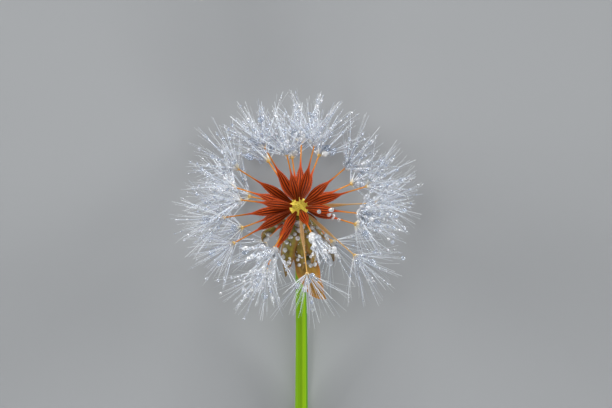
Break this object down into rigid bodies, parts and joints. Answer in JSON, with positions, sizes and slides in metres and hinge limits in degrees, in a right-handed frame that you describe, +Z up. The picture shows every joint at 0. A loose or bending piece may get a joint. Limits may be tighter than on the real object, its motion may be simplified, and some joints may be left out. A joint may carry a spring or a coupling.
{
  "type": "dandelion seed head",
  "caption": "Small partly blown dandelion seed head with red ribbed seeds, white tufts, turned-down bracts and a short cut green stem, lying down.",
  "frame": {"origin": "on the surface that it lies on, below the middle of the whole part", "axes": "+Z up, +Y from the cut end of the stem to the top of the head, +X to the right seen from above with the head at the top"},
  "size_m": [0.0302, 0.0412, 0.0237],
  "materials": {
    "stem_green": "satin",
    "receptacle_yellow": "matte",
    "bract_olive": "matte",
    "achene_red": "satin",
    "achene_tan": "matte",
    "pappus_white": "satin",
    "water_drop": "gloss"
  },
  "bodies": {
    "root": {"stem": "stem_green", "receptacle": "receptacle_yellow", "bracts": "bract_olive", "achene_01": "achene_red", "achene_02": "achene_red", "achene_03": "achene_red", "achene_04": "achene_red", "achene_05": "achene_red", "achene_06": "achene_red", "achene_07": "achene_red", "achene_08": "achene_red", "achene_09": "achene_red", "achene_10": "achene_red", "achene_11": "achene_red", "achene_12": "achene_red", "achene_13": "achene_red", "achene_14": "achene_red", "achene_15": "achene_red", "achene_16": "achene_red", "achene_17": "achene_red", "achene_18": "achene_red", "achene_19": "achene_red", "achene_20": "achene_red", "achene_21": "achene_red", "achene_22": "achene_red", "achene_23": "achene_red", "achene_24": "achene_red", "achene_25": "achene_tan", "achene_26": "achene_tan", "achene_27": "achene_tan", "pappus_01": "pappus_white", "pappus_02": "pappus_white", "pappus_03": "pappus_white", "pappus_04": "pappus_white", "pappus_05": "pappus_white", "pappus_06": "pappus_white", "pappus_07": "pappus_white", "pappus_08": "pappus_white", "pappus_09": "pappus_white", "pappus_10": "pappus_white", "pappus_11": "pappus_white", "pappus_12": "pappus_white", "pappus_13": "pappus_white", "pappus_14": "pappus_white", "pappus_15": "pappus_white", "pappus_16": "pappus_white", "pappus_17": "pappus_white", "pappus_18": "pappus_white", "pappus_19": "pappus_white", "pappus_20": "pappus_white", "pappus_21": "pappus_white", "pappus_22": "pappus_white", "pappus_23": "pappus_white", "pappus_24": "pappus_white", "pappus_25": "pappus_white", "pappus_26": "pappus_white", "pappus_27": "pappus_white"}
  },
  "joints": []
}
